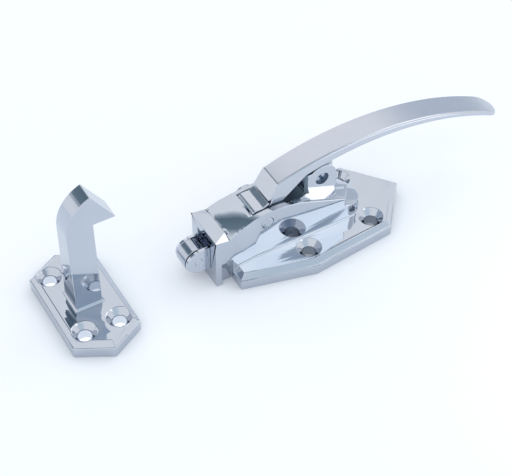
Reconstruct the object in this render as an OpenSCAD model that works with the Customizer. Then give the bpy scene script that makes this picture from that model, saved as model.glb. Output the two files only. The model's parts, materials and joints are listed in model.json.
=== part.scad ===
// Cold room door latch: a lever latch with a roller bolt, and the hook strike that the bolt locks under.
// X runs along the bolt, towards the free end of the lever. Y runs across, and Z away from the door.
// The origin lies on the door face, straight under the axis of the lever's pivot pin. Millimetres.

/* [Base flange] */
// Pivot axis to the pointed end of the flange
flange_tip_x = 84.4; // [80:0.1:95]
// Pivot axis to the rear corners of the flange
flange_rear_x = 64.5; // [60:0.1:70]
// Half width of the flange at its rear corners
flange_rear_half = 24.9; // [22:0.1:28]
// Pivot axis to the widest corners of the flange
flange_wide_x = 17.7; // [10:0.1:25]
// Half width of the flange at its widest corners
flange_wide_half = 29.9; // [28:0.1:34]
// Pivot axis to the bolt end of the flange, towards the bolt
flange_front_x = 20.6; // [19:0.1:21.5]
// Half width of the flange at the bolt end
flange_front_half = 20.3; // [18:0.1:24]
// Height of the upright side of the flange
flange_side_h = 5.7; // [4:0.1:8]
// Width of the flat ledge between the side and the bevel
ledge_w = 0.6; // [0.3:0.1:1]
// Width of the bevel, seen from above
bevel_w = 2.4; // [1.5:0.1:3]
// Height of the bevel
bevel_h = 2.7; // [1.5:0.1:3]
// Width of the rim round the hollow underside
rim_w = 4.5; // [3:0.1:6]
// Thickness of the flange over its hollow underside
flange_skin = 3.4; // [2.5:0.1:4.5]

/* [Screw holes] */
// Diameter of a screw hole
screw_d = 7; // [5:0.1:7.5]
// Diameter of the countersink at the surface
countersink_d = 13; // [11:0.1:13.5]
// Depth of the countersink
countersink_depth = 3; // [2:0.1:4]
// Diameter of the boss round a screw hole under the flange
boss_d = 16; // [15:0.1:18]
// Pivot axis to the rear pair of holes
rear_hole_x = 57.7; // [54:0.1:60]
// Distance across the rear pair of holes
rear_hole_span = 32; // [30:0.1:36]
// Pivot axis to the middle pair of holes
mid_hole_x = 19.1; // [12:0.1:24]
// Distance across the middle pair of holes
mid_hole_span = 37.6; // [37:0.1:40]

/* [Housing] */
// Half width of the housing
housing_half = 11; // [10.6:0.1:11.5]
// Radius of the arched roof along the housing
roof_r = 57; // [54:0.5:62]
// Radius of the crown across the roof
crown_r = 50; // [40:1:80]
// Pivot axis to the highest point of the roof
roof_x = 3; // [1:0.1:5]
// Height of the roof at its highest point
roof_top = 36.6; // [36:0.1:38]
// Slope of the straight tail of the roof
tail_slope = 21.6; // [20:0.1:24]
// Half of the turn that the arch makes while it passes into the tail
tail_blend = 4; // [3:0.5:6]
// Pivot axis to the corners where the roof leaves the side walls
tail_edge_x = 45; // [43:0.1:46]
// Pivot axis to the point of the roof
tail_tip_x = 53; // [50:0.1:54]
// Depth of the step behind the point of the roof
tail_step = 4.3; // [2:0.1:5]
// Pivot axis to the round rear end of the housing
housing_rear_x = 58; // [56:0.1:59]
// Half width of the slot in the roof that the lever sits in
slot_half = 8.4; // [7.8:0.1:8.5]
// Pivot axis to the lip of the slot, towards the bolt
slot_lip_x = 7.2; // [7:0.1:8]

/* [End plate] */
// Pivot axis to the face of the end plate, towards the bolt
end_x = 30.1; // [29:0.1:32]
// Half width of the end plate
end_half = 12.5; // [12:0.1:13.5]
// Height of the end plate
end_h = 30.3; // [29:0.1:31]
// Thickness of the end plate below
end_t = 3.2; // [2.5:0.1:4]
// Depth of the flat strip on top of the end plate
end_strip = 7.8; // [6:0.1:8.2]
// Width of the facets that lead that strip down to the roof
facet_w = 5; // [3:0.1:6]
// Drop of a facet at the roof
facet_drop = 1.3; // [0.8:0.1:1.6]
// Width of a facet at the face of the end plate
facet_start = 0.4; // [0.2:0.1:0.8]
// Room over the bolt in the window of the end plate
window_rise = 3; // [1:0.1:4]
// Depth of the window before the channel closes round the bolt
window_depth = 5; // [4:0.1:6]
// Half width of the neck between the end plate and the flange
neck_half = 10.2; // [9.8:0.1:10.6]
// Height of the neck
neck_h = 14; // [10:0.1:16]

/* [Ears] */
// Pivot axis to the middle of the ears
ear_x = 33.2; // [32:0.1:35]
// Height of the rest pin in the ears
rest_z = 39.2; // [38.5:0.1:39.6]
// Radius of the round top of an ear
ear_r = 8.3; // [7.5:0.1:8.4]
// Half width over both ears
ear_half = 7; // [6.6:0.1:7.2]
// Thickness of one ear
ear_t = 3.6; // [3:0.1:3.8]
// Height of the straight front edge of an ear over the rest pin
ear_shoulder = 5.8; // [4:0.1:6]
// Height of the flared foot of an ear over the roof
foot_h = 6.4; // [5:0.1:7]
// How far the foot runs ahead of its ear, along the edge of the slot
foot_run = 6.7; // [5:0.1:8]
// Radius of the foot's outer edge, seen from above
foot_round_r = 28; // [26:0.5:32]
// How far the foot stays behind the edge of the roof
foot_margin = 0.9; // [0.6:0.1:1.4]
// Width of the rear end of the foot
foot_end_w = 0.8; // [0.6:0.1:1.4]
// How deep the edges of the foot lie in the ear and in the roof
foot_sink = 0.4; // [0.3:0.1:0.6]
// Diameter of the rest pin
rest_d = 7; // [5:0.1:7.5]
// How deep the ends of the rest pin lie in the ears
rest_recess = 1.9; // [0.8:0.1:2]
// Width and depth of the slot in the end of the rest pin
driver_slot = 1.2; // [0.8:0.1:1.6]
// Angle of that slot
driver_angle = 150; // [0:5:175]

/* [Lever] */
// Height of the lever's pivot pin
pivot_z = 28.3; // [28:0.1:28.8]
// Diameter of the pivot pin
pivot_d = 6.4; // [5:0.1:7]
// Diameter of the domed head of the pivot pin
pivot_head_d = 11.4; // [9:0.1:12]
// Height of the domed head
pivot_head_h = 3.4; // [2:0.1:4]
// Height of the dome alone
pivot_dome_h = 0.9; // [0.5:0.1:1.5]
// Width of the lever
lever_w = 15; // [13:0.1:15.2]
// Radius of the lever's nose round the pivot pin
nose_r = 9.3; // [9:0.1:9.5]
// Height of the flat top of the nose
nose_top = 36; // [35.4:0.1:36.4]
// Radius of the hub below the nose
hub_r = 7; // [6:0.1:7.1]
// Slope of the lever's end face over the nose
end_face_angle = 58; // [50:1:65]
// Radius of the hollow between the nose and the end face
nose_fillet = 4.5; // [2:0.1:5]
// How far that hollow runs past its tangent lines
fillet_sink = 0.1; // [0.05:0.01:0.2]
// Pivot axis to the back of the heel that carries the grip
heel_x = 10.5; // [9:0.1:12]
// Pivot axis to the end of the lever's top face
top_face_x = 7.6; // [7:0.1:9]
// Radius of the arched top of the lever
top_r = 165; // [160:1:180]
// Pivot axis to the highest point of the lever
top_x = 60; // [56:0.5:64]
// Height of the highest point of the lever
top_z = 56.4; // [55.5:0.1:58]
// Radius of the arched underside of the lever
under_r = 160; // [155:1:166]
// Pivot axis to the highest point of the underside
under_x = 65; // [63:0.5:68]
// Thickness of the lever at the highest point of the underside
lever_t = 4.5; // [4:0.1:4.8]
// Pivot axis to the free end of the lever
lever_end_x = 142; // [130:0.5:150]

/* [Bolt] */
// Height of the bolt's axis
bolt_z = 15.2; // [15:0.1:15.4]
// Height of the bolt
bolt_h = 14.2; // [13:0.1:14.4]
// Width of the bolt
bolt_w = 12.4; // [11:0.1:12.6]
// Pivot axis to the axle of the roller, towards the strike
roller_x = 36.3; // [35:0.1:37.5]
// Diameter of the roller
roller_d = 14.2; // [13:0.1:14.4]
// Thickness of one cheek of the fork
cheek_t = 1.7; // [1.4:0.1:2]
// How far the roller stands out of the cheeks
roller_proud = 0.5; // [0.3:0.1:0.8]
// Diameter of the roller's axle
axle_d = 4; // [3:0.1:5]
// Pivot axis to the floor of the fork, towards the bolt
fork_floor_x = 24; // [23:0.1:26]
// Pivot axis to the back end of the bolt
bolt_rear_x = 14; // [12:0.1:15]
// How far the bolt is drawn back by the lever
bolt_travel = 7.5; // [5:0.1:7.8]
// Pivot axis to the step down in the bolt's top, towards the bolt
bolt_step_x = 20; // [18.5:0.1:21]
// Depth of the step in the bolt's top
bolt_step_h = 1.5; // [1.3:0.1:2]
// Distance from the pivot axis to the centre of the finger's round tip
finger_reach = 10.6; // [10:0.1:11]
// Radius of the finger's round tip
finger_tip_r = 2.4; // [2:0.1:2.6]
// Thickness of the finger above its tip
finger_t = 3.4; // [2.5:0.1:3.6]
// Width of the finger
finger_w = 6; // [4:0.1:6.4]

/* [Spring] */
// Outer diameter of the bolt spring
spring_d = 9; // [7:0.1:9.5]
// Wire of the bolt spring
spring_wire = 1.3; // [0.8:0.1:1.6]
// Turns of the bolt spring
spring_turns = 7; // [5:1:8]
// Pivot axis to the closed end of the spring bore
spring_end_x = 39; // [37:0.1:40]
// Length of the bolt's spigot in the spring
spigot_l = 6; // [4:0.1:8]

/* [Strike] */
// Pivot axis to the middle of the strike, away from the lever
strike_x = 92.8; // [85:0.1:110]
// Latch axis to the middle of the strike, across
strike_y = 7.2; // [0:0.1:20]
// Half length of the strike plate, to its points
strike_half_l = 35; // [32:0.1:40]
// Half length of the strike plate's straight sides
strike_side_half = 25.4; // [22:0.1:28]
// Half width of the strike plate
strike_half_w = 17.9; // [16.5:0.1:21]
// Height of the upright side of the strike plate
strike_side_h = 6.2; // [4:0.1:8]
// Distance between the strike's screw holes, along the latch
strike_hole_x = 18.4; // [17.5:0.1:21]
// Distance between the strike's screw holes, across the latch
strike_hole_y = 40.4; // [38:0.1:42]
// Width of the post, along the latch
post_w = 13.8; // [12:0.1:14.5]
// Depth of the post at its foot, across the latch
post_foot_d = 14.2; // [12:0.1:15]
// Depth of the post at the hook
post_head_d = 10.8; // [9:0.1:12]
// Width and height of the flare at the foot of the post
foot_flare = 0.9; // [0.5:0.1:1.5]
// Height of the flat underside of the hook
hook_z = 60; // [55:0.5:62]
// Height of the point of the hook
hook_top = 77.3; // [74:0.1:82]
// How far the hook reaches over the bolt
hook_reach = 11.6; // [9:0.1:13]
// Radius of the rounded back of the hook
hook_back_r = 22; // [16:0.5:26]

/* [Clearances] */
// Gap round the lever's nose and hub in the housing
lever_gap = 0.5; // [0.4:0.05:0.8]
// Gap between the bolt and its channel, and between the finger and its pocket
slide_gap = 0.3; // [0.2:0.05:0.4]
// Gap between the finger's tip and the ends of its pocket
finger_gap = 0.6; // [0.5:0.05:0.8]
// Radial gap of a turning pin in its bore
pin_gap = 0.05; // [0.02:0.01:0.1]
// Radial gap of a fixed pin in its bore
seat_gap = 0.02; // [0.01:0.01:0.05]

/* [Hidden] */

$fn = 64;
cut = 1;            // how far a cutter runs past the face that it cuts
far = 400;          // longer than any piece
flange_top = flange_side_h + bevel_h;
strike_top = strike_side_h + bevel_h;
flange_outline = [
    [flange_tip_x, 0],
    [flange_rear_x, flange_rear_half],
    [flange_wide_x, flange_wide_half],
    [-flange_front_x, flange_front_half],
    [-flange_front_x, -flange_front_half],
    [flange_wide_x, -flange_wide_half],
    [flange_rear_x, -flange_rear_half]
];
strike_outline = [
    [strike_half_w, strike_side_half],
    [0, strike_half_l],
    [-strike_half_w, strike_side_half],
    [-strike_half_w, -strike_side_half],
    [0, -strike_half_l],
    [strike_half_w, -strike_side_half]
];
base_holes = [for (side = [-1, 1]) each [
    [rear_hole_x, side * rear_hole_span / 2],
    [mid_hole_x, side * mid_hole_span / 2]
]];
strike_holes = [for (i = [-1, 1], j = [-1, 1]) [i * strike_hole_x / 2, j * strike_hole_y / 2]];
channel_half = bolt_w / 2 + slide_gap;
channel_h = bolt_h + 2 * slide_gap;
bolt_top = bolt_z + bolt_h / 2;
channel_end_x = bolt_rear_x + bolt_travel + cut;
ear_gap = ear_half - ear_t;                 // half of the space between the ears
lug_half = ear_gap - slide_gap;
slot_rear_x = ear_x - ear_r;
tail_h = roof_r * cos(tail_blend);          // centre of the arch to the top line of the tail
top_face_z = top_z - top_r + sqrt(pow(top_r, 2) - pow(top_x - top_face_x, 2));
end_foot_x = top_face_x - (top_face_z - nose_top) / tan(end_face_angle);
roller_half = bolt_w / 2 - cheek_t - slide_gap;
cheek_r = roller_d / 2 - roller_proud;
spring_bore_r = spring_d / 2 + slide_gap;
steel = "lightsteelblue";
satin = "lavender";

// The corner b of an outline, moved inwards by d from both of its sides
function inset_corner(a, b, c, d) =
    let (u = (a - b) / norm(a - b), v = (c - b) / norm(c - b), half = acos(u * v) / 2)
    b + (u + v) / norm(u + v) * d / sin(half);

// Height of the straight tail of the roof at a place, with its crown across
function tail_z(x, y) =
    roof_top - roof_r + (tail_h - crown_r + sqrt(pow(crown_r, 2) - pow(y, 2))) / cos(tail_slope)
    - (x - roof_x) * tan(tail_slope);

// An outline drawn inwards by d
function inset(points, d) =
    let (n = len(points))
    [for (i = [0 : n - 1]) inset_corner(points[(i + n - 1) % n], points[i], points[(i + 1) % n], d)];

// The cutter round the top of a plate: it leaves the ledge and the bevel
module bevel_ring(points, side_h) {
    n = len(points);
    top = side_h + bevel_h;
    section = [
        [-cut, side_h], [ledge_w, side_h], [ledge_w + bevel_w, top], [ledge_w + bevel_w, top + cut],
        [-cut, top + cut]
    ];
    m = len(section);
    corners = [for (s = section) each [for (p = inset(points, s[0])) [p.x, p.y, s[1]]]];
    walls = [
        for (j = [0 : m - 1], i = [0 : n - 1])
            [j * n + i, j * n + (i + 1) % n, (j + 1) % m * n + (i + 1) % n, (j + 1) % m * n + i]
    ];
    polyhedron(corners, walls);
}

// A plate with upright sides, a ledge and a bevelled rim
module bevelled_plate(points, side_h) {
    difference() {
        linear_extrude(side_h + bevel_h) polygon(points);
        bevel_ring(points, side_h);
    }
}

// The hollow under a plate, which leaves its rim and the bosses of its screw holes
module underside_hollow(points, holes, depth) {
    difference() {
        translate([0, 0, -cut]) linear_extrude(depth + cut) polygon(inset(points, rim_w));
        for (h = holes) translate([h.x, h.y, -2 * cut]) cylinder(d = boss_d, h = depth + 3 * cut);
    }
}

// One countersunk screw hole through a plate
module screw_hole(at, top) {
    translate([at.x, at.y, -cut]) cylinder(d = screw_d, h = top + 2 * cut);
    translate([at.x, at.y, top - countersink_depth])
        cylinder(d1 = screw_d, d2 = countersink_d, h = countersink_depth);
    translate([at.x, at.y, top]) cylinder(d = countersink_d, h = countersink_depth);
}

// A cylinder along Y at a place in the XZ plane, from y0 to y1
module across(x, z, d, y0, y1) {
    translate([x, y1, z]) rotate([90, 0, 0]) cylinder(d = d, h = y1 - y0);
}

// A drawing in the XZ plane, given a thickness along Y
module side_extrude(half) {
    translate([0, half, 0]) rotate([90, 0, 0]) linear_extrude(2 * half) children();
}

// Base casting: flange, housing with its arched roof, end plate and ears

// The upper part of the housing seen from above: wider at the end plate, pointed at the rear
module roof_plan() {
    polygon([
        [-end_x + end_strip, -end_half], [-slot_lip_x, -housing_half], [tail_edge_x, -housing_half],
        [tail_tip_x, 0], [tail_edge_x, housing_half], [-slot_lip_x, housing_half],
        [-end_x + end_strip, end_half]
    ]);
}

// The step behind it seen from above, with its round end
module step_plan() {
    round_x = housing_rear_x - housing_half;
    translate([0, -housing_half]) square([round_x, 2 * housing_half]);
    translate([round_x, 0]) circle(r = housing_half);
}

// The crowned barrel that forms the roof of the housing
module roof_barrel() {
    translate([roof_x, 0, roof_top - roof_r])
        rotate([90, 0, 0])
            rotate_extrude($fn = 128)
                intersection() {
                    translate([roof_r - crown_r, 0]) circle(r = crown_r, $fn = 128);
                    translate([0, -end_half - cut]) square([roof_r + cut, 2 * (end_half + cut)]);
                }
}

// The straight tail of the roof, with the same crown across, lowered by drop
module roof_tail(drop) {
    translate([roof_x, 0, roof_top - roof_r])
        rotate([0, tail_slope, 0])
            translate([0, 0, tail_h - drop - crown_r])
                rotate([0, 90, 0]) cylinder(r = crown_r, h = far, $fn = 128);
}

// What a facet takes off the strip on top of the end plate
module strip_facet() {
    turn = atan((facet_w - facet_start) / end_strip);
    tilt = atan(facet_drop / (facet_w * cos(turn)));
    intersection() {
        translate([end_strip - end_x, facet_w - end_half, end_h])
            rotate([0, 0, turn])
                rotate([tilt, 0, 0])
                    translate([-far / 2, -far, 0]) cube(far);
        translate([-end_x - cut, -end_half - cut, 0]) cube([end_strip + cut, end_half, far]);
    }
}

module housing() {
    intersection() {
        linear_extrude(roof_top + cut) roof_plan();
        union() {
            roof_barrel();
            roof_tail(0);
        }
    }
    intersection() {
        linear_extrude(roof_top) step_plan();
        roof_tail(tail_step);
    }
    difference() {
        translate([-end_x, -end_half, 0]) cube([end_strip, 2 * end_half, end_h]);
        for (m = [0, 1]) mirror([0, m, 0]) strip_facet();
    }
}

// The sloping foot of the ear on the front: it rises along the slot and rounds off at the rear
module ear_foot() {
    edge_y = housing_half - foot_margin;
    full_w = edge_y - ear_half;
    roof_z = tail_z(ear_x, ear_half);
    edge_drop = roof_z - tail_z(ear_x, edge_y) + foot_sink;
    front_x = slot_rear_x - foot_run;
    ramp_z = tail_z(front_x, slot_half) + foot_run;
    rear_x = ear_x + ear_r - cut;
    round_y = foot_round_r - edge_y;
    round_x = rear_x - sqrt(pow(foot_round_r, 2) - pow(round_y + ear_half + foot_end_w, 2));
    intersection() {
        translate([ear_x, -ear_half, roof_z])
            rotate([0, tail_slope, 0])
                rotate([90, 0, 90])
                    translate([0, 0, -far / 2])
                        linear_extrude(far)
                            polygon([
                                [foot_sink, -foot_h], [foot_sink, foot_h], [-full_w, -edge_drop],
                                [-full_w, -foot_h]
                            ]);
        translate([round_x, round_y, 0]) cylinder(r = foot_round_r, h = far, $fn = 128);
        difference() {
            translate([front_x, -housing_half, 0]) cube([rear_x - front_x, housing_half, far]);
            across(front_x + foot_sink, ramp_z - foot_sink, 2 * foot_run, -far, far);
        }
    }
}

// The ear on the front, with its foot
module ear() {
    left = ear_x - ear_r;
    translate([0, -ear_half + ear_t / 2, 0])
        side_extrude(ear_t / 2) {
            translate([ear_x, rest_z]) circle(r = ear_r);
            translate([left, flange_top]) square([2 * ear_r, rest_z - flange_top]);
            polygon([
                [left, flange_top], [ear_x, flange_top], [ear_x, rest_z + ear_shoulder + cut],
                [left, rest_z + ear_shoulder]
            ]);
        }
    ear_foot();
}

// The space that the lever moves in, and the channel of the bolt and its spring
module base_hollows() {
    slot_floor = bolt_z;
    translate([-slot_lip_x, -slot_half, slot_floor])
        cube([slot_lip_x + slot_rear_x, 2 * slot_half, far]);
    across(0, pivot_z, 2 * (nose_r + lever_gap), -slot_half, slot_half);
    translate([slot_rear_x - cut, -ear_gap, rest_z - ear_r]) cube([2 * ear_r + 2 * cut, 2 * ear_gap, far]);
    translate([-end_x - cut, -channel_half, bolt_z - channel_h / 2])
        cube([end_x + cut + channel_end_x, 2 * channel_half, channel_h]);
    translate([-end_x - cut, -channel_half, bolt_z])
        cube([window_depth + cut, 2 * channel_half, channel_h / 2 + window_rise]);
    translate([0, 0, bolt_z]) rotate([0, 90, 0]) cylinder(r = spring_bore_r, h = spring_end_x);
}

module base_casting() {
    neck_l = end_x - end_t - flange_front_x;
    color(steel)
        difference() {
            union() {
                bevelled_plate(flange_outline, flange_side_h);
                housing();
                for (m = [0, 1]) mirror([0, m, 0]) ear();
            }
            base_hollows();
            difference() {
                underside_hollow(flange_outline, base_holes, flange_top - flange_skin);
                translate([-far / 2, -housing_half, -2 * cut]) cube([far, 2 * housing_half, far]);
            }
            for (h = base_holes) screw_hole(h, flange_top);
            for (side = [-1, 1])
                translate([-end_x + end_t, side > 0 ? neck_half : -neck_half - far, -cut])
                    cube([neck_l, far, neck_h + cut]);
            across(0, pivot_z, pivot_d + 2 * seat_gap, -far / 2, far / 2);
            across(ear_x, rest_z, rest_d + 2 * seat_gap, -far / 2, far / 2);
        }
}

// Pivot pin: ground flush with the front wall, with a domed head on the back wall
module pivot_pin() {
    dome_r = (pow(pivot_head_d / 2, 2) + pow(pivot_dome_h, 2)) / (2 * pivot_dome_h);
    color(steel)
        translate([0, housing_half, pivot_z])
            rotate([-90, 0, 0])
                rotate_extrude() {
                    translate([0, -2 * housing_half]) square([pivot_d / 2, 2 * housing_half + cut]);
                    intersection() {
                        translate([0, pivot_head_h - dome_r]) circle(r = dome_r);
                        square([pivot_head_d / 2, pivot_head_h]);
                    }
                }
}

// Rest pin: a slotted pin across the ears that carries the closed lever
module rest_pin() {
    half = ear_half - rest_recess;
    color(steel)
        difference() {
            across(ear_x, rest_z, rest_d, -half, half);
            translate([ear_x, -half, rest_z])
                rotate([0, driver_angle, 0])
                    cube([driver_slot, 2 * driver_slot, 2 * rest_d], center = true);
        }
}

// Lever: arched grip, round nose in the slot, finger down to the bolt and lug over the rest pin

// The side of the grip, between its two arches and the sloping end face
module grip_side() {
    intersection() {
        translate([top_x, top_z - top_r]) circle(r = top_r, $fn = 256);
        polygon([
            [end_foot_x, nose_top], [end_foot_x + (top_z - nose_top) / tan(end_face_angle), top_z],
            [lever_end_x + cut, top_z + cut], [lever_end_x + cut, 0], [end_foot_x, 0]
        ]);
    }
}

// The space under the arch of the lever
module under_arch() {
    translate([under_x, top_z - lever_t - under_r]) circle(r = under_r, $fn = 256);
}

// The hollow corner between the flat nose and the end face
module nose_corner() {
    centre_h = nose_fillet - fillet_sink;
    reach = centre_h * tan(end_face_angle / 2);
    difference() {
        polygon([
            [end_foot_x - reach, nose_top - cut],
            [end_foot_x + reach * cos(end_face_angle) + cut, nose_top + reach * sin(end_face_angle)],
            [end_foot_x + reach + cut, nose_top - cut]
        ]);
        translate([end_foot_x - reach, nose_top + centre_h]) circle(r = nose_fillet);
    }
}

// The nose and hub round the pivot pin
module hub_side() {
    translate([0, pivot_z]) circle(r = hub_r);
    intersection() {
        translate([0, pivot_z]) circle(r = nose_r);
        translate([-nose_r, pivot_z]) square([2 * nose_r, nose_top - pivot_z]);
    }
}

// The lug under the grip that sits on the rest pin
module lug_side() {
    difference() {
        translate([ear_x - ear_r, rest_z]) square([2 * ear_r, top_z - rest_z - lever_t]);
        translate([ear_x, rest_z]) circle(d = rest_d + 2 * slide_gap);
    }
}

// The heel that carries the grip down to the hub
module heel_side() {
    polygon([
        [0, pivot_z], [heel_x, nose_top], [slot_rear_x, rest_z + ear_r], [top_face_x, rest_z + ear_r]
    ]);
}

module lever() {
    end_r = lever_w / 2;
    color(satin)
        difference() {
            union() {
                intersection() {
                    side_extrude(lever_w / 2) {
                        difference() {
                            grip_side();
                            under_arch();
                        }
                        nose_corner();
                        hub_side();
                        heel_side();
                    }
                    linear_extrude(far) {
                        translate([-nose_r, -lever_w / 2]) square([nose_r + lever_end_x - end_r, lever_w]);
                        translate([lever_end_x - end_r, 0]) circle(r = end_r);
                    }
                }
                side_extrude(finger_w / 2) {
                    translate([-finger_t / 2, pivot_z - finger_reach]) square([finger_t, finger_reach]);
                    translate([0, pivot_z - finger_reach]) circle(r = finger_tip_r);
                }
                side_extrude(lug_half) lug_side();
            }
            across(0, pivot_z, pivot_d + 2 * pin_gap, -far / 2, far / 2);
        }
}

// Bolt: forked nose for the roller, pocket for the finger and spigot for the spring
module bolt() {
    pocket_half = finger_tip_r + finger_gap;
    pocket_floor = pivot_z - finger_reach - finger_tip_r - finger_gap;
    color(steel)
        difference() {
            union() {
                translate([-roller_x, -bolt_w / 2, bolt_z - bolt_h / 2])
                    cube([roller_x - bolt_step_x, bolt_w, bolt_h]);
                translate([-bolt_step_x - cut, -bolt_w / 2, bolt_z - bolt_h / 2])
                    cube([bolt_step_x + cut + bolt_rear_x, bolt_w, bolt_h - bolt_step_h]);
                across(-roller_x, bolt_z, 2 * cheek_r, -bolt_w / 2, bolt_w / 2);
                translate([bolt_rear_x, 0, bolt_z])
                    rotate([0, 90, 0]) cylinder(d = spring_d - 2 * spring_wire - 2 * slide_gap, h = spigot_l);
            }
            translate([-far, -roller_half - slide_gap, 0])
                cube([far - fork_floor_x, 2 * (roller_half + slide_gap), far]);
            translate([-pocket_half, -finger_w / 2 - slide_gap, pocket_floor])
                cube([2 * pocket_half, finger_w + 2 * slide_gap, far]);
            across(-roller_x, bolt_z, axle_d + 2 * seat_gap, -far / 2, far / 2);
        }
}

// Roller: a plain steel roller between the cheeks of the bolt
module bolt_roller() {
    color(steel)
        difference() {
            across(-roller_x, bolt_z, roller_d, -roller_half, roller_half);
            across(-roller_x, bolt_z, axle_d + 2 * pin_gap, -far / 2, far / 2);
        }
}

// Axle of the roller, flush with both cheeks
module roller_axle() {
    color(steel) across(-roller_x, bolt_z, axle_d, -bolt_w / 2, bolt_w / 2);
}

// Bolt spring: round wire swept along a helix, between the bolt and the end of its bore
module bolt_spring() {
    mean_r = (spring_d - spring_wire) / 2;
    length = spring_end_x - bolt_rear_x;
    pitch = (length - spring_wire) / spring_turns;
    sides = 8;      // round the wire
    steps = 16;     // in one turn
    rings = spring_turns * steps;
    points = [
        for (i = [0 : rings], k = [0 : sides - 1])
            let (turn = 360 * i / steps, a = 360 * k / sides, r = mean_r + spring_wire / 2 * cos(a))
            [
                bolt_rear_x + spring_wire / 2 + pitch * i / steps + spring_wire / 2 * sin(a),
                r * cos(turn),
                bolt_z + r * sin(turn)
            ]
    ];
    walls = [
        for (i = [0 : rings - 1], k = [0 : sides - 1])
            let (next = (k + 1) % sides)
            [i * sides + k, i * sides + next, (i + 1) * sides + next, (i + 1) * sides + k]
    ];
    caps = [
        [for (k = [sides - 1 : -1 : 0]) k],
        [for (k = [0 : sides - 1]) rings * sides + k]
    ];
    color(steel) polyhedron(points, concat(walls, caps));
}

// Strike: a bevelled plate with a hooked post, cast in one

// The side of the post and hook, with x from the middle of the plate
module hook_side() {
    back = -post_w / 2;
    front = post_w / 2;
    back_drop = sqrt(pow(hook_back_r, 2) - pow(hook_back_r - post_w, 2));
    difference() {
        polygon([
            [back, 0], [front, 0], [front, hook_z], [front + hook_reach, hook_z],
            [front, hook_top], [back, hook_top]
        ]);
        difference() {
            translate([back - cut, hook_top - back_drop]) square([post_w + cut, back_drop + cut]);
            translate([back + hook_back_r, hook_top - back_drop]) circle(r = hook_back_r, $fn = 128);
        }
    }
}

// The flare round the foot of the post
module post_flare() {
    outline = [for (i = [[-1, -1], [1, -1], [1, 1], [-1, 1]]) [i.x * post_w / 2, i.y * post_foot_d / 2]];
    n = len(outline);
    rings = [
        [-foot_flare, strike_top - cut], [-foot_flare, strike_top], [foot_flare, strike_top + 2 * foot_flare]
    ];
    last = len(rings) - 1;
    corners = [for (s = rings) each [for (p = inset(outline, s[0])) [p.x, p.y, s[1]]]];
    walls = [
        for (j = [0 : last - 1], i = [0 : n - 1])
            [j * n + i, (j + 1) * n + i, (j + 1) * n + (i + 1) % n, j * n + (i + 1) % n]
    ];
    caps = [[for (i = [0 : n - 1]) i], [for (i = [n - 1 : -1 : 0]) last * n + i]];
    polyhedron(corners, concat(walls, caps));
}

module strike() {
    color(steel)
        translate([-strike_x, strike_y, 0])
            difference() {
                union() {
                    bevelled_plate(strike_outline, strike_side_h);
                    post_flare();
                    intersection() {
                        side_extrude(post_foot_d) hook_side();
                        rotate([90, 0, 90])
                            translate([0, 0, -far / 2])
                                linear_extrude(far)
                                    polygon([
                                        [-post_foot_d / 2, 0], [post_foot_d / 2, 0],
                                        [post_head_d / 2, hook_top], [-post_head_d / 2, hook_top]
                                    ]);
                    }
                }
                difference() {
                    underside_hollow(strike_outline, strike_holes, strike_top - flange_skin);
                    cube([post_w + rim_w, post_foot_d + rim_w, far], center = true);
                }
                for (h = strike_holes) screw_hole(h, strike_top);
            }
}

base_casting();
lever();
pivot_pin();
rest_pin();
bolt();
bolt_roller();
roller_axle();
bolt_spring();
strike();
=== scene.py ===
# %% [markdown]
# # A cold room door latch in polished and satin plating
# The latch is a set of castings: a six-sided base with an arched housing, a long curved lever, a
# sprung bolt with a roller in its nose, and a separate hooked strike. Their shapes come from the
# CAD frame. This lesson dresses them: cast edges get their small radii, every surface its finish,
# and a plain studio its light.

# %% Load the frame
import json
import math

import bmesh
import bpy
from mathutils import Matrix, Vector


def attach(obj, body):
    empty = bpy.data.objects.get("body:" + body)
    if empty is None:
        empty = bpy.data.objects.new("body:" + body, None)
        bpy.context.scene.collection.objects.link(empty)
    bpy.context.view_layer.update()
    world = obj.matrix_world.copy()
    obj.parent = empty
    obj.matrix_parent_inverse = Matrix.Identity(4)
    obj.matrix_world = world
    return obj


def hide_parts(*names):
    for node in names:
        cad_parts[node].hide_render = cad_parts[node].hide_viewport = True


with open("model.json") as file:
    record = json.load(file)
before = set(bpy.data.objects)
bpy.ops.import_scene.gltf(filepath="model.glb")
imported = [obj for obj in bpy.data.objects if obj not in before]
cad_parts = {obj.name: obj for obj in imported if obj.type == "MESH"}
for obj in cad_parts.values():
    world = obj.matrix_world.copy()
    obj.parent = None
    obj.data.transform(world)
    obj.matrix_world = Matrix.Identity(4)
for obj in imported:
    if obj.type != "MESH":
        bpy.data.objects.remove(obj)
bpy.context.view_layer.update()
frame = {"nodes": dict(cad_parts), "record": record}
MM = 0.001
print("nodes:", sorted(frame["nodes"]))

# %% [markdown]
# ## Cast edges are never sharp
# A real casting has a radius on each edge, and on bright plating that radius is what draws the
# thin light line along it. The CAD meshes are loose triangles, so a copy of each node is merged
# first, and its flat triangles are joined into whole faces. Then each edge that turns by a clear
# angle gets a bevel weight: its own radius as a share of the bevel's width. One Bevel modifier
# rounds them all together, so that edges of different radii still meet in clean corners. The copy
# stands for the node.
#
# A face in a mesh has one border, so a flat face with a hole in it can't be one face. Where joining
# would close a screw hole or a bore, the copy is first cut straight through it. The cuts are marked
# as seams, and seams stay.

# %% A helper that joins the triangles of a node
WELD = 0.002 * MM               # closer points than this are one corner
FLAT = math.radians(0.4)        # faces that turn by less are one face
X_AXIS = Vector((1.0, 0.0, 0.0))
Y_AXIS = Vector((0.0, 1.0, 0.0))
STRIKE_HOLES_X = (-102.0, -83.6)
STRIKE_HOLES_Y = (-13.0, 27.4)
PIVOT_X = 0.0
ROLLER_X = -36.3

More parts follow.
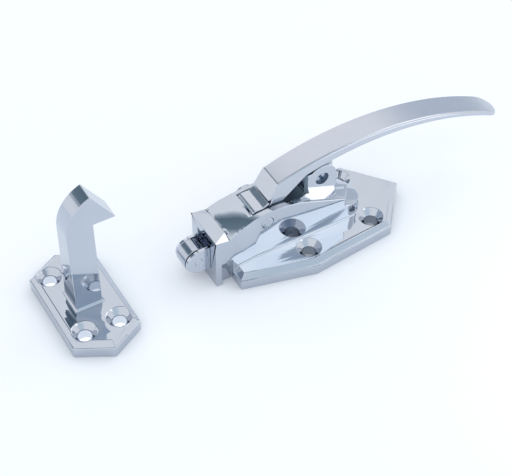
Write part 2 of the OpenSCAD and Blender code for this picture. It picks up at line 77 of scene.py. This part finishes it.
# Where a node is cut through its holes, in mm: the places along X, then those along Y
CUTS = {
    "strike": (STRIKE_HOLES_X, STRIKE_HOLES_Y),
    "lever": ((PIVOT_X,), ()),
    "pivot_pin": ((PIVOT_X,), ()),
    "bolt_roller": ((ROLLER_X,), ()),
}
NO_CUTS = ((), ())


def merged_mesh(node):
    """A bmesh of a CAD node with its corners merged and its flat triangles joined."""
    bm = bmesh.new()
    bm.from_mesh(frame["nodes"][node].data)
    bmesh.ops.remove_doubles(bm, verts=bm.verts, dist=WELD)
    for axis, places in zip((X_AXIS, Y_AXIS), CUTS.get(node, NO_CUTS)):
        for place in places:
            cut = bmesh.ops.bisect_plane(bm, geom=bm.verts[:] + bm.edges[:] + bm.faces[:],
                                         plane_co=axis * place * MM, plane_no=axis)
            for element in cut["geom_cut"]:
                if isinstance(element, bmesh.types.BMEdge):
                    element.seam = True
    bmesh.ops.dissolve_limit(bm, angle_limit=FLAT, verts=bm.verts, edges=bm.edges,
                             delimit={'SEAM'})
    return bm


# %% A helper that rounds the edges of a node
HARD = math.radians(24)         # edges that turn by more are real edges
SMOOTH = math.radians(30)       # the shading breaks at sharper turns than this
ROUND_STEPS = 3
ROUND_PROFILE = 0.5             # a part of a circle

body_of_node = {node: body for body, nodes in frame["record"]["behaviour"]["bodies"].items()
                for node in nodes}


def rounded(node, width, radius_of=None):
    """The piece of a node, its hard edges rounded by width, or by what radius_of(edge) gives."""
    bm = merged_mesh(node)
    weight = bm.edges.layers.float.new("bevel_weight_edge")
    hard = [e for e in bm.edges if len(e.link_faces) == 2 and e.calc_face_angle() > HARD]
    for edge in hard:
        edge[weight] = radius_of(edge) / width if radius_of else 1.0
    mesh = bpy.data.meshes.new(node + "_dressed")
    bm.to_mesh(mesh)
    bm.free()
    piece = bpy.data.objects.new(node + "_dressed", mesh)
    bpy.context.scene.collection.objects.link(piece)
    mesh.shade_smooth()
    mesh.set_sharp_from_angle(angle=SMOOTH)
    bevel = piece.modifiers.new("round_edges", 'BEVEL')
    bevel.limit_method = 'WEIGHT'
    bevel.width = width
    bevel.segments = ROUND_STEPS
    bevel.profile = ROUND_PROFILE
    bevel.use_clamp_overlap = False
    bevel.loop_slide = False
    bevel.harden_normals = True
    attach(piece, body_of_node[node])
    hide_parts(node)
    print(node, "hard edges:", len(hard), "faces:", len(mesh.polygons))
    return piece


# %% Radii of the base and the strike
# The hollow line where the walls stand on the flange is the softest. The rim of the roof is crisp
# over the arch and grows softer towards the tail. The ledges of the plates stay crisp, and the
# edges of the lever's slot aren't rounded.
RIM_RADIUS = 0.45 * MM
FOOT_RADIUS = 0.7 * MM
CAST_RADIUS = 0.4 * MM
CRISP_RADIUS = 0.2 * MM
ARCH_RADIUS = 0.12 * MM
FLANGE_TOP = 8.4 * MM
WALL_Y = 10.5 * MM              # further out than this are the outer walls of the housing
ARCH_X = 4.0 * MM               # ahead of this the rim of the roof is crisp
SOFTENING = 20.0 * MM           # over this length behind it the rim grows softer
TAIL_X = 45.2 * MM              # behind this is the round tail of the housing
SLOT_X = (-10.0 * MM, 26.0 * MM)
SLOT_HALF = 8.5 * MM
SLOT_LOW = 8.0 * MM
UPRIGHT = 0.1                   # the largest Z in the direction of an upright face
LEVEL = 0.8                     # the least Z in the direction of a roof


def middle_of(edge):
    """The middle of an edge."""
    return (edge.verts[0].co + edge.verts[1].co) / 2


def in_slot(place):
    """Whether a place on the base is in the lever's slot."""
    return (SLOT_X[0] < place.x < SLOT_X[1] and abs(place.y) < SLOT_HALF
            and place.z > SLOT_LOW)


def cast_radius(edge):
    """The radius of an edge of the base."""
    middle = middle_of(edge)
    steep, flat = sorted(face.normal.z for face in edge.link_faces)
    if in_slot(middle):
        return 0.0
    if not edge.is_convex:
        return FOOT_RADIUS if abs(middle.z - FLANGE_TOP) < CRISP_RADIUS else CRISP_RADIUS
    if middle.z < FLANGE_TOP + CRISP_RADIUS:
        return CRISP_RADIUS
    outer = abs(middle.y) > WALL_Y or middle.x > TAIL_X
    if outer and abs(steep) < UPRIGHT and flat > LEVEL:
        share = min(max((middle.x - ARCH_X) / SOFTENING, 0.0), 1.0)
        return ARCH_RADIUS + share * (RIM_RADIUS - ARCH_RADIUS)
    return CAST_RADIUS


def strike_radius(edge):
    """The radius of an edge of the strike."""
    return CAST_RADIUS if edge.is_convex else CRISP_RADIUS


base = rounded("base_casting", RIM_RADIUS, cast_radius)
strike = rounded("strike", CAST_RADIUS, strike_radius)

# %% Radii of the lever and the steel pieces
GRIP_RADIUS = 1.2 * MM          # along the top of the grip
LEVER_RADIUS = 0.5 * MM
NOSE_RADIUS = 0.3 * MM
GRIP_X = 9.0 * MM               # behind this is the grip
NOSE_X = -5.0 * MM              # ahead of this is the lip of the nose
STEEL_RADIUS = 0.25 * MM
PIN_RADIUS = 0.5 * MM


def lever_radius(edge):
    """The radius of an edge of the lever."""
    middle = middle_of(edge)
    if middle.x > GRIP_X and max(face.normal.z for face in edge.link_faces) > LEVEL:
        return GRIP_RADIUS
    return NOSE_RADIUS if middle.x < NOSE_X else LEVER_RADIUS


lever = rounded("lever", GRIP_RADIUS, lever_radius)
bolt = rounded("bolt", STEEL_RADIUS)
roller = rounded("bolt_roller", STEEL_RADIUS)
axle = rounded("roller_axle", CRISP_RADIUS)
pivot_pin = rounded("pivot_pin", PIN_RADIUS)
rest_pin = rounded("rest_pin", STEEL_RADIUS)

# %% [markdown]
# ## Two kinds of plating
# The base and the strike are polished before they are plated, so they mirror their surroundings.
# The lever is only smoothed, and its plating spreads each reflection. Both have the faint
# unevenness of hand polishing. It is the same effect with other numbers, so it is one node group,
# which every finish uses with its own scale and strength.

# %% A node group for hand-polished unevenness
CLOUD_DETAIL = 5.0              # finer clouds inside the clouds

polish = bpy.data.node_groups.new("hand_polish", 'ShaderNodeTree')
for name, kind in (("Scale", "Float"), ("Stretch", "Float"), ("Dark", "Color"), ("Light", "Color"),
                   ("Smoothest", "Float"), ("Roughest", "Float")):
    polish.interface.new_socket(name, in_out='INPUT', socket_type="NodeSocket" + kind)
for name, kind in (("Color", "Color"), ("Roughness", "Float"), ("Height", "Float")):
    polish.interface.new_socket(name, in_out='OUTPUT', socket_type="NodeSocket" + kind)


def add_node(tree, kind, **settings):
    """A new node in a tree, with its properties set."""
    made = tree.nodes.new(kind)
    for key, value in settings.items():
        setattr(made, key, value)
    return made


group_in = add_node(polish, "NodeGroupInput")
group_out = add_node(polish, "NodeGroupOutput")
coordinates = add_node(polish, "ShaderNodeTexCoord")
stretch = add_node(polish, "ShaderNodeCombineXYZ")
stretch.inputs["Y"].default_value = 1.0
stretch.inputs["Z"].default_value = 1.0
stretched = add_node(polish, "ShaderNodeVectorMath", operation='MULTIPLY')
cloud = add_node(polish, "ShaderNodeTexNoise")
cloud.inputs["Detail"].default_value = CLOUD_DETAIL
tone = add_node(polish, "ShaderNodeMix", data_type='RGBA')
gloss = add_node(polish, "ShaderNodeMapRange")
polish.links.new(group_in.outputs["Stretch"], stretch.inputs["X"])
polish.links.new(coordinates.outputs["Object"], stretched.inputs[0])
polish.links.new(stretch.outputs["Vector"], stretched.inputs[1])
polish.links.new(stretched.outputs["Vector"], cloud.inputs["Vector"])
polish.links.new(group_in.outputs["Scale"], cloud.inputs["Scale"])
polish.links.new(cloud.outputs["Fac"], tone.inputs["Factor"])
polish.links.new(group_in.outputs["Dark"], tone.inputs["A"])
polish.links.new(group_in.outputs["Light"], tone.inputs["B"])
polish.links.new(cloud.outputs["Fac"], gloss.inputs["Value"])
polish.links.new(group_in.outputs["Smoothest"], gloss.inputs["To Min"])
polish.links.new(group_in.outputs["Roughest"], gloss.inputs["To Max"])
polish.links.new(tone.outputs["Result"], group_out.inputs["Color"])
polish.links.new(gloss.outputs["Result"], group_out.inputs["Roughness"])
polish.links.new(cloud.outputs["Fac"], group_out.inputs["Height"])
print("group sockets:", [item.name for item in polish.interface.items_tree])

# %% A helper that makes one metal finish
RELIEF_DEPTH = 0.02 * MM


def metal(name, dark, light, smoothest, roughest, scale, stretch_x=1.0, bump=0.0, metallic=1.0):
    """A metal with a slightly uneven colour and gloss. Scale counts patches in a metre."""
    finish = bpy.data.materials.new(name)
    finish.use_nodes = True
    tree = finish.node_tree
    shader = tree.nodes["Principled BSDF"]
    shader.inputs["Metallic"].default_value = metallic
    uneven = add_node(tree, "ShaderNodeGroup", node_tree=polish)
    uneven.inputs["Scale"].default_value = scale
    uneven.inputs["Stretch"].default_value = stretch_x
    uneven.inputs["Dark"].default_value = (*dark, 1.0)
    uneven.inputs["Light"].default_value = (*light, 1.0)
    uneven.inputs["Smoothest"].default_value = smoothest
    uneven.inputs["Roughest"].default_value = roughest
    tree.links.new(uneven.outputs["Color"], shader.inputs["Base Color"])
    tree.links.new(uneven.outputs["Roughness"], shader.inputs["Roughness"])
    if bump:
        relief = add_node(tree, "ShaderNodeBump")
        relief.inputs["Strength"].default_value = bump
        relief.inputs["Distance"].default_value = RELIEF_DEPTH
        tree.links.new(uneven.outputs["Height"], relief.inputs["Height"])
        tree.links.new(relief.outputs["Normal"], shader.inputs["Normal"])
    print("finish:", name)
    return finish


# %% The finishes
bright_plating = metal("bright_plating", dark=(0.490, 0.532, 0.600), light=(0.535, 0.580, 0.650),
                       smoothest=0.03, roughest=0.07, scale=60.0)
satin_plating = metal("satin_plating", dark=(0.520, 0.553, 0.615), light=(0.575, 0.608, 0.670),
                      smoothest=0.14, roughest=0.22, scale=900.0, stretch_x=0.08, bump=0.15)
# The slot's walls are unpolished, matt casting. Their light bluish colour is painted light,
# standing in for the light that falls into the slot.
inside_with_painted_light = metal("unpolished_inside_painted_light", dark=(0.46, 0.60, 0.70), light=(0.56, 0.70, 0.80),
                    smoothest=0.40, roughest=0.60, scale=900.0, metallic=0.3)
# The walls of the holes for the rest pin get a dark colour: painted shade in the holes.
painted_hole_shade = metal("hole_painted_shade", dark=(0.16, 0.22, 0.30), light=(0.26, 0.33, 0.42),
                    smoothest=0.40, roughest=0.60, scale=900.0)
bolt_steel = metal("polished_bolt_steel", dark=(0.53, 0.57, 0.65), light=(0.60, 0.64, 0.72),
                   smoothest=0.07, roughest=0.14, scale=200.0)
# The roller's steel is darker than the bolt's.
roller_steel = metal("darker_roller_steel", dark=(0.44, 0.48, 0.55), light=(0.52, 0.56, 0.63),
                     smoothest=0.06, roughest=0.12, scale=300.0)
pin_steel = metal("turned_pin_steel", dark=(0.42, 0.47, 0.55), light=(0.54, 0.60, 0.68),
                  smoothest=0.16, roughest=0.28, scale=500.0)
wire_steel = metal("spring_wire_steel", dark=(0.24, 0.25, 0.27), light=(0.38, 0.39, 0.41),
                   smoothest=0.30, roughest=0.45, scale=800.0)

# %% Give each piece its finish
for piece, finish in ((base, bright_plating), (strike, bright_plating), (lever, satin_plating),
                      (bolt, bolt_steel), (roller, roller_steel), (axle, bolt_steel),
                      (pivot_pin, bright_plating), (rest_pin, pin_steel),
                      (frame["nodes"]["bolt_spring"], wire_steel)):
    piece.data.materials.clear()
    piece.data.materials.append(finish)
    print(piece.name, "has", finish.name)

# %% Unpolished walls: painted light in the slot, painted shade in the holes of the rest pin
WALLS_ONLY = 0.3                # faces that turn more than this out of the slot or hole are left
REST_X = 33.2 * MM
REST_Z = 39.2 * MM
REST_REACH = 3.7 * MM           # a little more than the radius of the holes


def slot_wall(face):
    """Whether a face of the base is a wall of the lever's slot."""
    return in_slot(face.center) and abs(face.normal.z) < WALLS_ONLY


def rest_hole_wall(face):
    """Whether a face of the base is the wall of a hole for the rest pin."""
    reach = math.hypot(face.center.x - REST_X, face.center.z - REST_Z)
    return reach < REST_REACH and abs(face.normal.y) < WALLS_ONLY


for finish, belongs in ((inside_with_painted_light, slot_wall), (painted_hole_shade, rest_hole_wall)):
    base.data.materials.append(finish)
    inner_faces = [face for face in base.data.polygons if belongs(face)]
    for face in inner_faces:
        face.material_index = len(base.data.materials) - 1
    print("faces of the base with", finish.name + ":", len(inner_faces))

# %% [markdown]
# ## The camera
# The eye stands high in front of the latch, to its left. A product photographer uses a long lens
# for small hardware, because it keeps parallel edges nearly parallel. The camera is built from its
# three axes: right, up and back, which are the columns of its matrix.

# %% Camera
AZIMUTH = math.radians(-29.59)
ELEVATION = math.radians(46.26)
ROLL = math.radians(-0.27)
EYE = Vector((-260.9, -458.3, 559.1)) * MM
LENS_PIXELS = 1514.7            # focal length in pixels of the image
IMAGE_WIDTH = 512
FAR_CLIP = 100.0

camera_data = bpy.data.cameras.new("camera")
camera_data.sensor_fit = 'HORIZONTAL'
camera_data.lens = LENS_PIXELS / IMAGE_WIDTH * camera_data.sensor_width
camera_data.clip_end = FAR_CLIP
camera = bpy.data.objects.new("camera", camera_data)
bpy.context.scene.collection.objects.link(camera)
right = Vector((math.cos(AZIMUTH), math.sin(AZIMUTH), 0.0))
back = Vector((math.sin(AZIMUTH) * math.cos(ELEVATION), -math.cos(AZIMUTH) * math.cos(ELEVATION),
               math.sin(ELEVATION)))
up = back.cross(right)
axes = Matrix((right, up, back)).transposed() @ Matrix.Rotation(ROLL, 3, 'Z')
camera.matrix_world = Matrix.Translation(EYE) @ axes.to_4x4()
bpy.context.scene.camera = camera
print("lens:", round(camera_data.lens, 1), "mm")

# %% [markdown]
# ## A plain studio
# Bright metal shows its surroundings, so the studio is what gives it its tones. The room is pale
# all round, with a darker corner behind on the right and a darker patch in front. The floor is
# matt and pale. To the eye, and in the metal, it also glows a little, which makes it a white page
# without putting more light on the latch. The glow is added to the floor's own light, so the soft
# shadow stays, and it fades close to the latch.

# %% A helper for the finish of a white page
PAPER = (0.70, 0.745, 0.80)
PAPER_ROUGHNESS = 0.9
WHITE = (1.0, 1.0, 1.0)


def page(name, glow, fade_reach=None):
    """A matt, pale finish that also glows to the eye and in the metal.

    The glow fades where something is closer than fade_reach, if that is given.
    """
    finish = bpy.data.materials.new(name)
    finish.use_nodes = True
    tree = finish.node_tree
    shader = tree.nodes["Principled BSDF"]
    shader.inputs["Base Color"].default_value = (*PAPER, 1.0)
    shader.inputs["Roughness"].default_value = PAPER_ROUGHNESS
    shader.inputs["Specular IOR Level"].default_value = 0.0
    shader.inputs["Emission Color"].default_value = (*WHITE, 1.0)
    ray = add_node(tree, "ShaderNodeLightPath")
    direct = add_node(tree, "ShaderNodeMath", operation='MAXIMUM')
    shown = add_node(tree, "ShaderNodeMath", operation='MAXIMUM')
    strength = add_node(tree, "ShaderNodeMath", operation='MULTIPLY')
    strength.inputs[1].default_value = glow
    tree.links.new(ray.outputs["Is Camera Ray"], direct.inputs[0])
    tree.links.new(ray.outputs["Is Glossy Ray"], direct.inputs[1])
    tree.links.new(direct.outputs["Value"], shown.inputs[0])
    tree.links.new(ray.outputs["Is Transmission Ray"], shown.inputs[1])
    tree.links.new(shown.outputs["Value"], strength.inputs[0])
    if fade_reach:
        nearby = add_node(tree, "ShaderNodeAmbientOcclusion")
        nearby.inputs["Distance"].default_value = fade_reach
        faded = add_node(tree, "ShaderNodeMath", operation='MULTIPLY')
        tree.links.new(strength.outputs["Value"], faded.inputs[0])
        tree.links.new(nearby.outputs["AO"], faded.inputs[1])
        strength = faded
    tree.links.new(strength.outputs["Value"], shader.inputs["Emission Strength"])
    return finish


# %% A helper for the plates of the studio
def stage_plate(name, middle, half_x, half_y, finish):
    """A flat plate of the studio, which isn't a part of the latch."""
    bm = bmesh.new()
    bmesh.ops.create_grid(bm, x_segments=1, y_segments=1, size=1.0)
    bmesh.ops.scale(bm, vec=(half_x, half_y, 1.0), verts=bm.verts)
    bmesh.ops.translate(bm, vec=middle, verts=bm.verts)
    mesh = bpy.data.meshes.new(name)
    bm.to_mesh(mesh)
    bm.free()
    mesh.materials.append(finish)
    plate = bpy.data.objects.new(name, mesh)
    bpy.context.scene.collection.objects.link(plate)
    print("stage:", name)


# %% Floor
FLOOR_MIDDLE = (0.0, 0.0, -0.02 * MM)
FLOOR_HALF = 3.0
FLOOR_GLOW = 0.285
SHADE_REACH = 12.0 * MM         # closer to the latch than this the glow fades

floor_finish = page("studio_floor", FLOOR_GLOW, SHADE_REACH)
stage_plate("floor", FLOOR_MIDDLE, FLOOR_HALF, FLOOR_HALF, floor_finish)

# %% A white page under the strike
# The photo shows white through the strike's screw holes, where the floor alone would be dark.
STRIKE_MIDDLE = (-92.8 * MM, 7.2 * MM, -0.01 * MM)
PAGE_HALF_X = 15.0 * MM
PAGE_HALF_Y = 26.0 * MM
PAGE_GLOW = 1.0

stage_plate("white_page", STRIKE_MIDDLE, PAGE_HALF_X, PAGE_HALF_Y, page("white_page", PAGE_GLOW))

# %% Room light
FOOT_OF_WALLS = (1.08, 1.09, 1.11)
CEILING = (1.11, 1.11, 1.13)

world = bpy.data.worlds.new("studio")
bpy.context.scene.world = world
world.use_nodes = True
room = world.node_tree
surround = room.nodes["Background"]
direction = add_node(room, "ShaderNodeTexCoord")
split = add_node(room, "ShaderNodeSeparateXYZ")
room.links.new(direction.outputs["Generated"], split.inputs["Vector"])


def colour_ramp(source, tones):
    """A ramp from pairs of a place and a colour, which follows the value of a source."""
    ramp = add_node(room, "ShaderNodeValToRGB")
    stops = ramp.color_ramp.elements
    while len(stops) < len(tones):
        stops.new(0.5)          # each stop gets its own place below
    for stop, (place, colour) in zip(stops, tones):
        stop.position = place
        stop.color = (*colour, 1.0)
    room.links.new(source, ramp.inputs["Fac"])
    return ramp.outputs["Color"]


def along_axis(aim):
    """The dot product of the direction that is looked in and an aim."""
    product = add_node(room, "ShaderNodeVectorMath", operation='DOT_PRODUCT')
    product.inputs[1].default_value = aim
    room.links.new(direction.outputs["Generated"], product.inputs[0])
    return product.outputs["Value"]


def rising(source, none, full):
    """A share of a source: 0 where it is none, 1 where it is full, with a soft change between."""
    share = add_node(room, "ShaderNodeMapRange", interpolation_type='SMOOTHSTEP')
    share.inputs["From Min"].default_value = none
    share.inputs["From Max"].default_value = full
    room.links.new(source, share.inputs["Value"])
    return share.outputs["Result"]


def multiplied(before):
    """A node that multiplies the colour of the room so far."""
    mix = add_node(room, "ShaderNodeMix", data_type='RGBA', blend_type='MULTIPLY')
    room.links.new(before, mix.inputs["A"])
    return mix


def dark_spot(before, aim, outside, inside, tint):
    """The colour of the room with a round dark spot. Its outer and inner edges are in degrees."""
    nearness = along_axis(Vector(aim).normalized())
    share = rising(nearness, math.cos(math.radians(outside)), math.cos(math.radians(inside)))
    mix = multiplied(before)
    mix.inputs["B"].default_value = (*tint, 1.0)
    room.links.new(share, mix.inputs["Factor"])
    return mix.outputs["Result"]


walls = colour_ramp(split.outputs["Z"], ((0.0, FOOT_OF_WALLS), (1.0, CEILING)))
walls = dark_spot(walls, aim=(0.77, 0.59, 0.26), outside=27.0, inside=9.0, tint=(0.62, 0.68, 0.75))
walls = dark_spot(walls, aim=(0.15, -0.87, 0.47), outside=38.0, inside=12.0,
                  tint=(0.70, 0.80, 0.87))
print("nodes of the room:", len(room.nodes))

# %% [markdown]
# ## A flag over the table
# Chrome looks like metal only where something dark is next to something light. Photographers hang
# a long dark cloth, a flag, over the table for that. This one runs from high on the left, behind
# the latch, to straight above it. A band on a sphere is simple to write: the dot product of a
# direction and the band's axis is the distance from the band's middle line.

# %% The flag
FLAG_AXIS = (0.84, 0.50, -0.207)
FLAG_EDGES = (-0.5, 0.1)        # on that axis
FLAG_ABOVE = (0.30, 0.50)       # the heights where the flag begins and is whole
FLAG_BEHIND = (-0.45, -0.25)    # the same from front to back
FLAG_TONES = (
    (0.07, (1.00, 1.00, 1.00)),
    (0.20, (0.55, 0.60, 0.64)),
    (0.33, (0.20, 0.27, 0.32)),     # the cloth
    (0.67, (0.15, 0.21, 0.25)),
    (0.80, (0.38, 0.44, 0.49)),
    (0.93, (1.00, 1.00, 1.00)),
)

across_flag = add_node(room, "ShaderNodeMapRange")
across_flag.inputs["From Min"].default_value = FLAG_EDGES[0]
across_flag.inputs["From Max"].default_value = FLAG_EDGES[1]
room.links.new(along_axis(FLAG_AXIS), across_flag.inputs["Value"])
flag_part = add_node(room, "ShaderNodeMath", operation='MULTIPLY')
room.links.new(rising(split.outputs["Z"], *FLAG_ABOVE), flag_part.inputs[0])
room.links.new(rising(split.outputs["Y"], *FLAG_BEHIND), flag_part.inputs[1])
flagged = multiplied(walls)
room.links.new(flag_part.outputs["Value"], flagged.inputs["Factor"])
room.links.new(colour_ramp(across_flag.outputs["Result"], FLAG_TONES), flagged.inputs["B"])
room.links.new(flagged.outputs["Result"], surround.inputs["Color"])
bpy.context.scene.view_settings.view_transform = 'Standard'
print("nodes of the room with its flag:", len(room.nodes))

# %% Lamps
LATCH = (0.0, 0.0, 0.02)
LOW_WALL = (0.03, -0.012, 0.022)
WARM = (1.0, 0.94, 0.84)
NEARLY_WHITE = (1.0, 0.97, 0.91)


def soft_lamp(name, place, aim, width, height, power, colour):
    """A flat lamp at a place, turned towards a point."""
    data = bpy.data.lights.new(name, 'AREA')
    data.shape = 'RECTANGLE'
    data.size = width
    data.size_y = height
    data.energy = power
    data.color = colour
    lamp = bpy.data.objects.new(name, data)
    lamp.location = place
    lamp.rotation_euler = (Vector(aim) - Vector(place)).to_track_quat('-Z', 'Y').to_euler()
    bpy.context.scene.collection.objects.link(lamp)
    print("lamp:", name, power, "W")


soft_lamp("key_lamp", place=(0.64, -0.79, 1.09), aim=LATCH, width=0.34, height=0.32, power=0.47,
          colour=WARM)
soft_lamp("right_lamp", place=(0.94, 0.22, 1.00), aim=LATCH, width=0.60, height=0.60, power=1.25,
          colour=NEARLY_WHITE)
soft_lamp("low_lamp", place=(0.145, -0.155, 0.030), aim=LOW_WALL, width=0.14, height=0.06,
          power=0.028, colour=NEARLY_WHITE)
